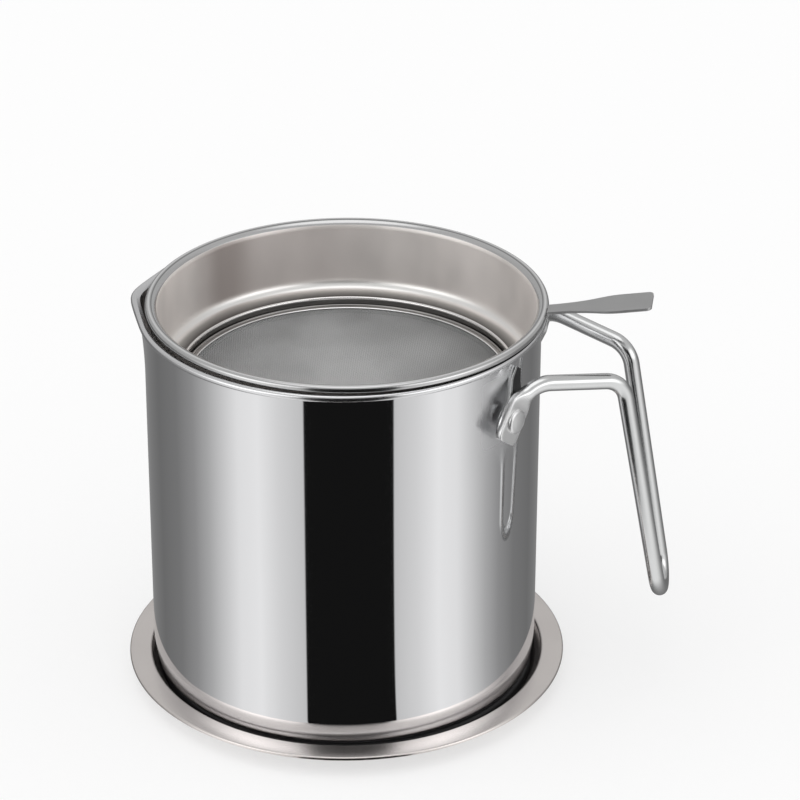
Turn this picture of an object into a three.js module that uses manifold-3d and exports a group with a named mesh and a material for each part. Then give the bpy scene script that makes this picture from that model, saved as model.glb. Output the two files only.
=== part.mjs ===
// Grease pot for a kitchen: a steel pot with a pouring lip and a riveted rod
// handle, a strainer basket that hangs in its mouth, and a tray that it stands in.
// Millimetres, +Z up. The origin is the middle of the tray's flat underside,
// +X points along the handle and the pouring lip points along -X.
import * as THREE from 'three';
import { mergeGeometries, mergeVertices } from 'three/addons/utils/BufferGeometryUtils.js';
import Module from 'manifold-3d';

// Fits
const fitGap = 0.3;             // between two pieces that touch
const cutOverrun = 2;           // how far a cutter runs past what it cuts

// Tray
const traySheet = 0.8;          // steel sheet of the tray
const trayHeight = 7.9;         // from the table to the top of the flange
const trayPlay = 1.6;           // between the pot's wall and the well's mouth
const trayWellDraft = 2;        // how much narrower the well's floor is
const trayWellFillet = 4;       // inside corner between floor and well wall
const trayMouthRound = 1;       // inside bend between well wall and flange
const trayFlangeWidth = 7.4;    // from the well's mouth to the middle of the hem
const trayFlangeDrop = 0.2;     // how far the flange falls towards the hem
const trayHemRadius = 0.7;      // rolled edge of the flange

// Silicone pad in the tray's well
const padThickness = 4.3;
const padInset = 2;             // from the pot's wall in to the pad's edge
const padRimWidth = 12;         // the thick ring that the pot stands on
const padWeb = 3.3;             // the middle, a little lower than the ring
const padEdgeRound = 1.2;

// Pot
const potOffset = 0.8;          // how far the pot stands from the tray's middle
const potRadius = 68;           // outside of the wall
const potSheet = 0.8;
const potHeight = 133.8;        // from the pot's underside to the middle of the rim bead
const potFootHeight = 9;        // height in which the wall draws in above the bottom
const potFootTilt = THREE.MathUtils.degToRad(8);
const potFootRound = 3;         // outside radius between the drawn-in foot and the bottom
const rimBeadRadius = 1.2;
const rimBeadReach = 1.1;       // middle of the bead, out from the wall

// Pouring lip, opposite the handle
const lipHalfAngle = THREE.MathUtils.degToRad(21);
const lipTipAngle = THREE.MathUtils.degToRad(4);
const lipDepth = 22;            // height of wall that bulges out under the lip

// Strainer basket
const basketOffset = 1.5;       // how far it is pushed along the rim, towards the handle
const basketSheet = 0.6;
const basketPlay = 2;           // between the basket's wall and the inside of the pot
const basketBeadRadius = 1.3;
const basketCurl = 2.4;         // middle of the basket's bead, out from its wall
const basketDepth = 24.8;       // from the middle of the bead to the ledge
const basketCorner = 4;         // inside radius between wall and ledge
const ledgeWidth = 7.2;         // from the inside of the wall to the step down to the seat
const ledgeFall = 0.5;          // how far the ledge slopes down to its inner edge
const seatDrop = 4.2;           // from the ledge's inner edge to the mesh seat
const seatWidth = 3.4;

// Mesh and its clamp ring
const meshWire = 0.8;
const meshPitch = 8;
const meshThickness = 0.5;
const meshSliver = 2;           // cells that reach less than this into the mesh stay closed
const clampWidth = 2.4;
const clampHeight = 1;
const clampSheet = 0.4;

// Lift tab on the basket's bead
const tabLength = 35.7;
const tabRootWidth = 6.2;
const tabEndWidth = 13.3;
const tabEndLength = 10;        // length of the wide end, its corners included
const tabShoulder = 17;         // how far the curves of the outline reach from the root
const tabSheet = 1;
const tabCorner = 1.8;
const tabTilt = THREE.MathUtils.degToRad(9);
const tabRise = 1.2;            // root's middle above the middle of the bead

// Rod handle
const rodRadius = 2.75;
const handleTopReach = 29.4;    // upper bend, out from the pot's wall
const handleTopDrop = 14.3;     // upper bend below the middle of the rim bead
const handleTopSpread = 13.3;   // half the distance between the rods there
const handleEndReach = 42.9;    // middle of the end bend, out from the pot's wall
const handleGripDrop = 76.4;    // end bend's middle below the upper bend
const handleEndBend = 9;        // radius of the end bend
const handleTopBend = 9;
const handleRootBend = 13;
const handleRootRise = 10.6;    // root bend above the rivet

// Flattened ends, ears and rivets
const rivetAngle = THREE.MathUtils.degToRad(30.3);
const rivetDrop = 20;           // below the middle of the rim bead
const endLean = THREE.MathUtils.degToRad(36);
const endThickness = 2;
const endWidth = 11.2;
const endTip = 7.8;             // from the rivet to the tip
const endRound = 3.4;           // length of the rounded tip
const endTipShare = 0.7;        // share of the width that is left at the tip
const endStraight = 4;          // straight length above the rivet
const endFlat = 4.6;            // flat length above the rivet
const endBlend = 6.5;           // length in which the flat end becomes round
const earSheet = 1.2;
const earStandoff = 2.4;        // between the wall and the ear at the rivet
const earWidth = 10.4;
const earTopWidth = 4;
const earTopShift = 2.3;        // how far the top is set over to the side of the lean
const earTaper = 2.5;           // how late the ear narrows towards its top
const earTip = 6.8;             // from the rivet to the ear's lower tip
const earTipShare = 0.3;        // squareness of the lower tip
const earFlat = 4.3;            // flat length above the rivet
const earBend = 9.5;            // length in which the ear comes back to the wall
const earWeld = 3.5;            // length that lies on the wall
const rivetRadius = 2;
const rivetHeadRadius = 4.3;
const rivetHeadHeight = 1.5;
const rivetTailRadius = 4.4;
const rivetTailHeight = 1.4;

// Facets
const roundSteps = 60;
const beadSteps = 8;
const filletSteps = 4;
const bendSteps = 6;
const rodSteps = 12;

// Heights that follow from the stack of pieces
const padBase = traySheet + fitGap;
const potBase = padBase + padThickness + fitGap;
const rimHeight = potBase + potHeight;
const basketHeight = rimHeight + rimBeadRadius + fitGap + basketBeadRadius;
const ledgeHeight = basketHeight - basketDepth;
const seatHeight = ledgeHeight - ledgeFall - seatDrop;
const rivetLevel = rimHeight - rivetDrop;
const handleTopLevel = rimHeight - handleTopDrop;

// Radii that follow from the pot's wall
const trayWellRadius = potRadius + trayPlay;
const padRadius = potRadius - padInset;
const basketRadius = potRadius - potSheet - basketPlay;
const basketBeadMiddle = basketRadius + basketCurl;
const ledgeEdgeRadius = basketRadius - basketSheet - ledgeWidth;

const wasm = await Module();
wasm.setup();

// Finishes
function steel(color, roughness) {
  return new THREE.MeshStandardMaterial({ color, metalness: 1, roughness });
}
const polishedSteel = steel(0xc9cacb, 0.08);
const satinSteel = steel(0xb9b4b0, 0.3);
const brushedSteel = steel(0xc3bcb8, 0.25);
const rodSteel = steel(0xcfd0d1, 0.15);
const tabSteel = steel(0x8f8f90, 0.45);
const wireSteel = steel(0x9a9b9c, 0.35);
const blackSilicone = new THREE.MeshStandardMaterial({ color: 0x0b0b0c, metalness: 0, roughness: 0.6 });

// Points on an arc of a profile, both ends included
function arc(middleX, middleY, radius, from, to, steps) {
  const points = [];
  for (let i = 0; i <= steps; i++) {
    const angle = from + (to - from) * i / steps;
    points.push([middleX + radius * Math.cos(angle), middleY + radius * Math.sin(angle)]);
  }
  return points;
}

// A solid of revolution about Z from [radius, height] points
function revolve(profile, steps = roundSteps) {
  const points = profile.map(([radius, height]) => new THREE.Vector2(Math.max(radius, 0), height));
  const geometry = new THREE.LatheGeometry(points, steps);
  geometry.rotateX(Math.PI / 2);
  return geometry;
}

function toManifold(geometry) {
  const bare = geometry.clone();
  bare.deleteAttribute('normal');
  bare.deleteAttribute('uv');
  const merged = mergeVertices(bare);
  return new wasm.Manifold(new wasm.Mesh({
    numProp: 3,
    vertProperties: new Float32Array(merged.attributes.position.array),
    triVerts: new Uint32Array(merged.index.array),
  }));
}

function fromManifold(solid) {
  const mesh = solid.getMesh();
  const geometry = new THREE.BufferGeometry();
  geometry.setAttribute('position', new THREE.BufferAttribute(new Float32Array(mesh.vertProperties), 3));
  geometry.setIndex(new THREE.BufferAttribute(new Uint32Array(mesh.triVerts), 1));
  geometry.computeVertexNormals();
  return geometry;
}

// A closed skin over equal rings of points, with a flat cap on each end
function skin(rings) {
  const count = rings[0].length;
  const positions = rings.flat().flatMap((point) => point.toArray());
  const index = [];
  for (let i = 0; i + 1 < rings.length; i++) {
    for (let k = 0; k < count; k++) {
      const a = i * count + k;
      const b = i * count + (k + 1) % count;
      index.push(a, b, b + count, a, b + count, a + count);
    }
  }
  const last = (rings.length - 1) * count;
  for (let k = 1; k + 1 < count; k++) {
    index.push(0, k + 1, k, last, last + k, last + k + 1);
  }
  const geometry = new THREE.BufferGeometry();
  geometry.setAttribute('position', new THREE.Float32BufferAttribute(positions, 3));
  geometry.setIndex(index);
  geometry.computeVertexNormals();
  return geometry;
}

// The same solid on the other side of the handle's middle plane
function mirrored(geometry) {
  const copy = geometry.clone();
  copy.scale(1, -1, 1);
  const index = copy.index.array;
  for (let i = 0; i < index.length; i += 3) {
    [index[i + 1], index[i + 2]] = [index[i + 2], index[i + 1]];
  }
  copy.computeVertexNormals();
  return copy;
}

function part(name, geometry, material) {
  const mesh = new THREE.Mesh(geometry, material);
  mesh.name = name;
  return mesh;
}

// Tray: a pressed dish with a flange and a rolled hem
function trayGeometry() {
  const floorRadius = trayWellRadius - trayWellDraft;
  const filletMiddle = floorRadius - trayWellFillet;
  const outerFillet = trayWellFillet + traySheet;
  const mouthMiddle = trayWellRadius + trayMouthRound;
  const mouthLevel = trayHeight - trayMouthRound;
  const hemMiddle = trayWellRadius + trayFlangeWidth;
  const hemLevel = trayHeight - trayFlangeDrop - trayHemRadius;
  const hemRoot = Math.sqrt(trayHemRadius ** 2 - (trayHemRadius - traySheet / 2) ** 2);
  return revolve([
    [0, 0],
    ...arc(filletMiddle, outerFillet, outerFillet, -Math.PI / 2, 0, filletSteps),
    ...arc(mouthMiddle, mouthLevel, Math.max(trayMouthRound - traySheet, traySheet / 4),
      Math.PI, Math.PI / 2, 2),
    [hemMiddle - hemRoot, hemLevel + trayHemRadius - traySheet],
    ...arc(hemMiddle, hemLevel, trayHemRadius, -Math.PI * 3 / 4, Math.PI / 2, beadSteps - 2),
    ...arc(mouthMiddle, mouthLevel, trayMouthRound, Math.PI / 2, Math.PI, 2),
    ...arc(filletMiddle, traySheet + trayWellFillet, trayWellFillet, 0, -Math.PI / 2, filletSteps),
    [0, traySheet],
  ]);
}

// Silicone pad: a thick ring joined by a thin web
function padGeometry() {
  const top = padBase + padThickness;
  const inner = padRadius - padRimWidth;
  return revolve([
    [0, padBase],
    [padRadius - padEdgeRound, padBase],
    [padRadius, padBase + padEdgeRound],
    ...arc(padRadius - padEdgeRound, top - padEdgeRound, padEdgeRound, 0, Math.PI / 2, 2),
    [inner, top],
    [inner, padBase + padWeb],
    [0, padBase + padWeb],
  ]);
}

// How far the pouring lip pulls a point of the pot outwards, as a factor on its radius
function lipPull(angleFromLip, height) {
  const softAngle = Math.hypot(angleFromLip, lipTipAngle);
  if (softAngle >= lipHalfAngle) {
    return 1;
  }
  const full = 1 / Math.cos(lipHalfAngle - softAngle);
  const rise = THREE.MathUtils.smoothstep(height, rimHeight - lipDepth, rimHeight - rimBeadRadius);
  return 1 + (full - 1) * rise;
}

// Pot: one drawn shell with a rolled rim, its lip pulled out of the wall
function potGeometry() {
  const inner = potRadius - potSheet;
  const footRise = potFootHeight - potFootRound * (1 - Math.sin(potFootTilt));
  const footMiddle = potRadius - footRise * Math.tan(potFootTilt) - potFootRound * Math.cos(potFootTilt);
  const footLevel = potBase + potFootRound;
  const creaseLevel = potBase + potFootHeight;
  const innerCrease = creaseLevel - potSheet * Math.tan(potFootTilt / 2);
  const beadMiddle = potRadius + rimBeadReach;
  const beadStart = -Math.PI + Math.acos(rimBeadReach / rimBeadRadius);
  const lipFoot = rimHeight - lipDepth;
  const lipRows = 4;
  const outside = [];
  for (let i = 0; i < lipRows; i++) {
    outside.push([potRadius, lipFoot + (lipDepth - rimBeadRadius) * i / lipRows]);
  }
  const inside = outside.map(([, height]) => [inner, height]).reverse();
  const geometry = revolve([
    [0, potBase],
    ...arc(footMiddle, footLevel, potFootRound, -Math.PI / 2, -potFootTilt, filletSteps),
    [potRadius, creaseLevel],
    ...outside,
    ...arc(beadMiddle, rimHeight, rimBeadRadius, beadStart, Math.PI * 3 / 4, beadSteps - 1),
    [inner, rimHeight],
    ...inside,
    [inner, innerCrease],
    ...arc(footMiddle, footLevel, potFootRound - potSheet, -potFootTilt, -Math.PI / 2, filletSteps),
    [0, potBase + potSheet],
  ]);
  const position = geometry.attributes.position;
  for (let i = 0; i < position.count; i++) {
    const x = position.getX(i);
    const y = position.getY(i);
    const pull = lipPull(Math.abs(Math.atan2(y, -x)), position.getZ(i));
    position.setXY(i, x * pull, y * pull);
  }
  return geometry;
}

// Basket: bead, wall, rounded corner, ledge and the seat that carries the mesh
function basketGeometry() {
  const inner = basketRadius - basketSheet;
  const cornerMiddle = inner - basketCorner;
  const cornerLevel = ledgeHeight + basketCorner;
  const outerCorner = basketCorner + basketSheet;
  const curlRound = basketCurl + basketSheet;
  const curlLevel = basketHeight + basketBeadRadius - curlRound;
  const edgeLevel = ledgeHeight - ledgeFall;
  const seatEdge = ledgeEdgeRadius - seatWidth;
  return revolve([
    [seatEdge, seatHeight - basketSheet],
    [ledgeEdgeRadius + basketSheet, seatHeight - basketSheet],
    [ledgeEdgeRadius + basketSheet, edgeLevel - basketSheet],
    ...arc(cornerMiddle, cornerLevel, outerCorner, -Math.PI / 2, 0, filletSteps),
    [basketRadius, curlLevel],
    ...arc(basketBeadMiddle, basketHeight, basketBeadRadius, -Math.PI, Math.PI / 2, beadSteps - 1),
    ...arc(basketBeadMiddle, curlLevel, curlRound, Math.PI * 2 / 3, Math.PI, 2),
    ...arc(cornerMiddle, cornerLevel, basketCorner, 0, -Math.PI / 2, filletSteps),
    [ledgeEdgeRadius, edgeLevel],
    [ledgeEdgeRadius, seatHeight],
    [seatEdge, seatHeight],
    [seatEdge, seatHeight - basketSheet],
  ]);
}

// Mesh: a round net with square gaps, closed where the clamp ring holds it
function meshGeometry() {
  const radius = ledgeEdgeRadius - fitGap;
  const openRadius = radius - clampWidth;
  const base = seatHeight + fitGap;
  const disc = revolve([
    [0, base],
    [radius, base],
    [radius, base + meshThickness],
    [0, base + meshThickness],
  ]);
  const clip = new THREE.CylinderGeometry(openRadius, openRadius, meshThickness + 2 * cutOverrun, roundSteps);
  clip.rotateX(Math.PI / 2);
  clip.translate(0, 0, base + meshThickness / 2);
  const gap = meshPitch - meshWire;
  const reach = Math.ceil(openRadius / meshPitch);
  const gaps = [];
  for (let i = -reach; i <= reach; i++) {
    for (let j = -reach; j <= reach; j++) {
      const nearX = Math.max(Math.abs(i * meshPitch) - gap / 2, 0);
      const nearY = Math.max(Math.abs(j * meshPitch) - gap / 2, 0);
      if (Math.hypot(nearX, nearY) < openRadius - meshSliver) {
        const box = new THREE.BoxGeometry(gap, gap, meshThickness + cutOverrun);
        box.translate(i * meshPitch, j * meshPitch, base + meshThickness / 2);
        gaps.push(box);
      }
    }
  }
  const cutter = toManifold(mergeGeometries(gaps)).intersect(toManifold(clip));
  return fromManifold(toManifold(disc).subtract(cutter));
}

// Clamp ring: a pressed ring with a crest at its outer edge and a low inner edge
function clampGeometry() {
  const outer = ledgeEdgeRadius - fitGap;
  const inner = outer - clampWidth;
  const base = seatHeight + fitGap + meshThickness + fitGap;
  const crest = clampHeight - clampSheet;
  return revolve([
    [inner, base],
    [outer, base],
    ...arc(outer - crest, base + clampSheet, crest, 0, Math.PI, filletSteps),
    [inner, base + clampSheet],
    [inner, base],
  ]);
}

// Lift tab: a flat blade that widens outwards, its root cut to the bead's circle
function tabGeometry() {
  const rootX = basketBeadMiddle + basketBeadRadius + fitGap;
  const endX = rootX + tabLength;
  const wideX = endX - tabEndLength;
  const rootHalf = tabRootWidth / 2;
  const endHalf = tabEndWidth / 2;
  const sag = rootX - Math.sqrt(rootX ** 2 - rootHalf ** 2);
  const outline = new THREE.Shape();
  outline.moveTo(rootX - sag, -rootHalf);
  outline.bezierCurveTo(rootX + tabShoulder, -rootHalf, rootX + tabShoulder, -endHalf, wideX, -endHalf);
  outline.lineTo(endX - tabCorner, -endHalf);
  outline.quadraticCurveTo(endX, -endHalf, endX, tabCorner - endHalf);
  outline.lineTo(endX, endHalf - tabCorner);
  outline.quadraticCurveTo(endX, endHalf, endX - tabCorner, endHalf);
  outline.lineTo(wideX, endHalf);
  outline.bezierCurveTo(rootX + tabShoulder, endHalf, rootX + tabShoulder, rootHalf, rootX - sag, rootHalf);
  outline.quadraticCurveTo(rootX + sag, 0, rootX - sag, -rootHalf);
  const geometry = new THREE.ExtrudeGeometry(outline, {
    depth: tabSheet, bevelEnabled: false, curveSegments: bendSteps,
  });
  geometry.translate(-rootX, 0, -tabSheet / 2);
  geometry.rotateY(-tabTilt);
  geometry.translate(rootX, 0, basketHeight + tabRise);
  return geometry;
}

// Directions at a rivet on the -Y side: out of the wall, along the leaning end, across it
function rivetFrame() {
  const out = new THREE.Vector3(Math.cos(rivetAngle), -Math.sin(rivetAngle), 0);
  const round = new THREE.Vector3(Math.sin(rivetAngle), Math.cos(rivetAngle), 0);
  const along = round.clone().multiplyScalar(Math.sin(endLean));
  along.z = Math.cos(endLean);
  const across = new THREE.Vector3().crossVectors(out, along);
  return { out, along, across };
}

const earInner = potRadius + earStandoff;
const endMiddle = earInner + earSheet + fitGap + endThickness / 2;

// A point at a distance from the pot's axis along the rivet, and along and across the end
function atRivet(distance, along, across = 0) {
  const frame = rivetFrame();
  return new THREE.Vector3(0, 0, rivetLevel)
    .addScaledVector(frame.out, distance)
    .addScaledVector(frame.along, along)
    .addScaledVector(frame.across, across);
}

// Points on the round bend of a rod at a corner of its path
function bend(before, corner, after, radius) {
  const arriving = corner.clone().sub(before).normalize();
  const leaving = after.clone().sub(corner).normalize();
  const turn = arriving.angleTo(leaving);
  const start = corner.clone().addScaledVector(arriving, -radius * Math.tan(turn / 2));
  const axis = new THREE.Vector3().crossVectors(arriving, leaving).normalize();
  const inward = new THREE.Vector3().crossVectors(axis, arriving);
  const middle = start.clone().addScaledVector(inward, radius);
  const points = [];
  for (let i = 0; i <= bendSteps; i++) {
    const arm = inward.clone().multiplyScalar(-radius).applyAxisAngle(axis, turn * i / bendSteps);
    points.push(middle.clone().add(arm));
  }
  return points;
}

// One half of the handle's path, from the tip on the -Y side to the middle of the end bend
function handleHalfPath() {
  const tip = atRivet(endMiddle, -endTip);
  const root = atRivet(endMiddle, handleRootRise / Math.cos(endLean));
  const top = new THREE.Vector3(potRadius + handleTopReach, -handleTopSpread, handleTopLevel);
  const endPoint = new THREE.Vector3(potRadius + handleEndReach, 0, handleTopLevel - handleGripDrop);
  const down = endPoint.clone().sub(top).setY(0);
  const gripLength = down.length();
  down.normalize();
  const converge = Math.acos(handleEndBend / Math.hypot(gripLength, handleTopSpread))
    - Math.atan2(gripLength, handleTopSpread);
  const side = new THREE.Vector3(0, -1, 0);
  const endBend = [];
  for (let i = 0; i <= bendSteps; i++) {
    const angle = converge + (Math.PI / 2 - converge) * i / bendSteps;
    endBend.push(endPoint.clone()
      .addScaledVector(side, handleEndBend * Math.cos(angle))
      .addScaledVector(down, handleEndBend * Math.sin(angle)));
  }
  const rounded = [
    atRivet(endMiddle, -endTip + endRound / 6),
    atRivet(endMiddle, -endTip + endRound / 2),
    atRivet(endMiddle, -endTip + endRound),
  ];
  return [
    tip,
    ...rounded,
    atRivet(endMiddle, endStraight),
    ...bend(tip, root, top, handleRootBend),
    ...bend(root, top, endBend[0], handleTopBend),
    ...endBend,
  ];
}

// Half width and half thickness of the rod at a point of its path
function rodSection(lengthFromTip, flatEnd, roundStart) {
  const tipPart = Math.min(lengthFromTip / endRound, 1);
  const tipShare = endTipShare + (1 - endTipShare) * Math.sqrt(1 - (1 - tipPart) ** 2);
  const blend = THREE.MathUtils.smoothstep(lengthFromTip, flatEnd, roundStart);
  return {
    width: THREE.MathUtils.lerp(endWidth / 2 * tipShare, rodRadius, blend),
    thickness: THREE.MathUtils.lerp(endThickness / 2, rodRadius, blend),
    squareness: THREE.MathUtils.lerp(4, 2, blend),
  };
}

// Handle: one bent rod with both ends pressed flat and drilled for the rivets
function handleGeometry() {
  const path = handleHalfPath();
  const frame = rivetFrame();
  const rings = [];
  let normal = frame.out.clone();
  let length = 0;
  const flatEnd = endTip + endFlat;
  const roundStart = flatEnd + endBlend;
  path.forEach((point, i) => {
    const previous = path[Math.max(i - 1, 0)];
    const next = path[Math.min(i + 1, path.length - 1)];
    const tangent = i === path.length - 1 ? new THREE.Vector3(0, 1, 0) : next.clone().sub(previous).normalize();
    length += point.distanceTo(previous);
    normal = normal.clone().addScaledVector(tangent, -normal.dot(tangent)).normalize();
    const across = new THREE.Vector3().crossVectors(tangent, normal);
    const section = rodSection(length, flatEnd, roundStart);
    const power = 2 / section.squareness;
    const ring = [];
    for (let k = 0; k < rodSteps; k++) {
      const angle = 2 * Math.PI * k / rodSteps;
      const cos = Math.cos(angle);
      const sin = Math.sin(angle);
      ring.push(point.clone()
        .addScaledVector(normal, section.thickness * Math.sign(cos) * Math.abs(cos) ** power)
        .addScaledVector(across, section.width * Math.sign(sin) * Math.abs(sin) ** power));
    }
    rings.push(ring);
  });
  const mirror = new THREE.Vector3(1, -1, 1);
  const farRings = rings.slice(0, -1).reverse().map((ring) => ring.map((point) => point.clone().multiply(mirror)));
  const rod = toManifold(skin([...rings, ...farRings]));
  const drill = rivetHoleGeometry();
  return fromManifold(rod.subtract(toManifold(drill)).subtract(toManifold(mirrored(drill))));
}

// Turns a solid made about Z to stand on the rivet's axis, its base at the pot's axis
function onRivetAxis(geometry) {
  const frame = rivetFrame();
  const turn = new THREE.Matrix4().makeBasis(frame.along, frame.across, frame.out);
  turn.setPosition(0, 0, rivetLevel);
  geometry.applyMatrix4(turn);
  return geometry;
}

function rivetHoleGeometry() {
  const radius = rivetRadius + fitGap;
  const from = earInner - cutOverrun / 4;
  const to = endMiddle + endThickness / 2 + cutOverrun;
  const hole = new THREE.CylinderGeometry(radius, radius, to - from, rodSteps);
  hole.rotateX(Math.PI / 2);
  hole.translate(0, 0, (from + to) / 2);
  return onRivetAxis(hole);
}

// Ear: a plate that stands off the wall at the rivet and lies on the wall above
function earGeometry() {
  const weldEnd = earFlat + earBend + earWeld;
  const rows = [-earTip, -earTip * 0.94, -earTip * 0.75, -earTip * 0.4, 0, earFlat / 2, earFlat];
  for (const share of [0.15, 0.3, 0.45, 0.6, 0.8, 1]) {
    rows.push(earFlat + earBend * share);
  }
  rows.push(weldEnd);
  const columns = 4;
  const frame = rivetFrame();
  const wallRadius = potRadius + fitGap;
  const rings = rows.map((along) => {
    const tipPart = Math.min((along + earTip) / earTip, 1);
    const taper = THREE.MathUtils.clamp(along / weldEnd, 0, 1) ** earTaper;
    const half = THREE.MathUtils.lerp(earWidth, earTopWidth, taper) / 2
      * Math.sqrt(earTipShare + (1 - earTipShare) * (1 - (1 - tipPart) ** 2));
    const toWall = THREE.MathUtils.smoothstep(along, earFlat, earFlat + earBend);
    const inside = [];
    const outside = [];
    for (let j = 0; j <= columns; j++) {
      const across = earTopShift * taper + half * (2 * j / columns - 1);
      const flat = atRivet(earInner, along, across);
      const flatRadius = Math.hypot(flat.x, flat.y);
      const radius = THREE.MathUtils.lerp(flatRadius, wallRadius, toWall);
      const radial = new THREE.Vector3(flat.x, flat.y, 0).normalize();
      const face = radial.clone().multiplyScalar(radius).setZ(flat.z);
      const through = frame.out.clone().lerp(radial, toWall).normalize();
      inside.push(face);
      outside.push(face.clone().addScaledVector(through, earSheet));
    }
    return [...inside, ...outside.reverse()];
  });
  return fromManifold(toManifold(skin(rings)).subtract(toManifold(rivetHoleGeometry())));
}

// Rivet: a domed head outside, a shank and a flatter head behind the ear
function rivetGeometry() {
  const tailTop = earInner - fitGap;
  const tailBase = tailTop - rivetTailHeight;
  const headBase = endMiddle + endThickness / 2 + fitGap;
  const rim = rivetHeadHeight / 4;
  const domeRadius = (rivetHeadRadius ** 2 + (rivetHeadHeight - rim) ** 2) / (2 * (rivetHeadHeight - rim));
  const domeAngle = Math.asin(rivetHeadRadius / domeRadius);
  return onRivetAxis(revolve([
    [0, tailBase],
    [rivetTailRadius * 0.7, tailBase],
    [rivetTailRadius, tailBase + rivetTailHeight / 2],
    [rivetTailRadius, tailTop],
    [rivetRadius, tailTop],
    [rivetRadius, headBase],
    [rivetHeadRadius, headBase],
    ...arc(0, headBase + rivetHeadHeight - domeRadius, domeRadius,
      Math.PI / 2 - domeAngle, Math.PI / 2, 3),
  ], rodSteps));
}

// The object: the tray carries the pot, and the pot carries the strainer
const tray = new THREE.Group();
tray.add(part('drip_tray', trayGeometry(), brushedSteel));
tray.add(part('anti_slip_pad', padGeometry(), blackSilicone));

const ear = earGeometry();
const rivet = rivetGeometry();
const pot = new THREE.Group();
pot.position.x = -potOffset;
pot.add(part('pot_shell', potGeometry(), polishedSteel));
pot.add(part('handle_loop', handleGeometry(), rodSteel));
pot.add(part('ear_front', ear, polishedSteel));
pot.add(part('ear_back', mirrored(ear), polishedSteel));
pot.add(part('rivet_front', rivet, rodSteel));
pot.add(part('rivet_back', mirrored(rivet), rodSteel));

const strainer = new THREE.Group();
strainer.position.x = basketOffset;
strainer.add(part('strainer_basket', basketGeometry(), satinSteel));
strainer.add(part('strainer_mesh', meshGeometry(), wireSteel));
strainer.add(part('mesh_clamp_ring', clampGeometry(), satinSteel));
strainer.add(part('lift_tab', tabGeometry(), tabSteel));
pot.add(strainer);

const greasePot = new THREE.Group();
greasePot.add(tray, pot);

export default greasePot;
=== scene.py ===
import math
from collections import namedtuple

import bpy
import numpy as np
from mathutils import Matrix, Vector


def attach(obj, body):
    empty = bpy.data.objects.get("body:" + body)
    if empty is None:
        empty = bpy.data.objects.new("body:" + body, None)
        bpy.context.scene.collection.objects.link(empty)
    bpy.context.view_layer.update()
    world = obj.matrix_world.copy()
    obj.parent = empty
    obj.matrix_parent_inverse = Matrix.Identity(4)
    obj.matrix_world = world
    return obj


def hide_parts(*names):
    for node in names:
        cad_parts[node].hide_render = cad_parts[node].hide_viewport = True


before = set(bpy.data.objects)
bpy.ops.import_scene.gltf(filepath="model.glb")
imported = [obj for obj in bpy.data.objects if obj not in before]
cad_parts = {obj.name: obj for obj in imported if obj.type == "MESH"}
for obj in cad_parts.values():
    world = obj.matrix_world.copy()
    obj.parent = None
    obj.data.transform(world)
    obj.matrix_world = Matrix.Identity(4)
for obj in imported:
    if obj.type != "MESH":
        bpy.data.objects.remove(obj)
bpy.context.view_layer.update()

# Lengths are in millimetres, as on the maker's drawing, and angles of profiles in degrees
MM = 0.001
DEGREES = 180 / math.pi

# Where the pieces stand
POT_X = -0.8                 # the pot's axis, from the tray's middle
STRAINER_X = 0.7             # the strainer's axis, pushed towards the handle

# Tray
TRAY_SHEET = 0.8
TRAY_HEIGHT = 7.9
TRAY_WELL = 69.6
TRAY_DRAFT = 2
TRAY_FILLET = 4
TRAY_MOUTH_ROUND = 1
TRAY_FLANGE = 7.37
TRAY_FLANGE_DROP = 0.2
TRAY_HEM = 0.7

# Silicone pad: a ring that the pot stands on and a lower web inside it
PAD_BASE = 1.0
PAD_TOP = 5.4
PAD_RADIUS = 66
PAD_RIM = 12
PAD_WEB = 4.4
PAD_EDGE = 1.2
PAD_STEPS = 192

# Pot
POT_BASE = 5.6
POT_RADIUS = 68
POT_SHEET = 0.8
FOOT_HEIGHT = 9              # height in which the wall draws in above the bottom
FOOT_TILT = math.radians(8)
FOOT_ROUND = 3
CREASE = POT_BASE + FOOT_HEIGHT
CREASE_ROWS = (0.4, 1.2)     # rows of points close to the crease keep it crisp
RIM_LEVEL = 139.5
RIM_BEAD = 1.2
RIM_REACH = 1.1
RIM_CURL_END = 135
LIP_HALF_ANGLE = math.radians(21)
LIP_TIP_ANGLE = math.radians(4)
LIP_DEPTH = 22
LIP_ROWS = 14

# Strainer basket
BASKET_RADIUS = 65.2
BASKET_SHEET = 0.6
BEAD_MIDDLE = 67.6
BEAD_LEVEL = 142.2
BEAD_RADIUS = 1.3
BEAD_FOOT = BEAD_LEVEL - BEAD_RADIUS
BEAD_CURL_START = 96         # the curl's inner side starts just past its top
LEDGE_LEVEL = 117.5
LEDGE_EDGE = 57.4
LEDGE_FALL = 0.5
LEDGE_ROUND = 0.7
LEDGE_ROUND_START = 88
BASKET_CORNER = 4
SEAT_LEVEL = 112.8
SEAT_WIDTH = 3.4
SEAT_CHAMFER = 0.3

# Woven net and its clamp ring
NET_PITCH = 0.63
NET_WIRE = 0.26
NET_RADIUS = 55.6
NET_LEVEL = 113.35
NET_TURN = math.radians(12)
CLAMP_GAP = 0.3              # to the basket's wall, and up from the middle of the net
CLAMP_WIDTH = 2.4
CLAMP_SHEET = 0.45
CLAMP_CREST = 0.9
CLAMP_CHAMFER = (0.25, 0.2)
CLAMP_INNER = LEDGE_EDGE - CLAMP_GAP - CLAMP_WIDTH

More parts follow.
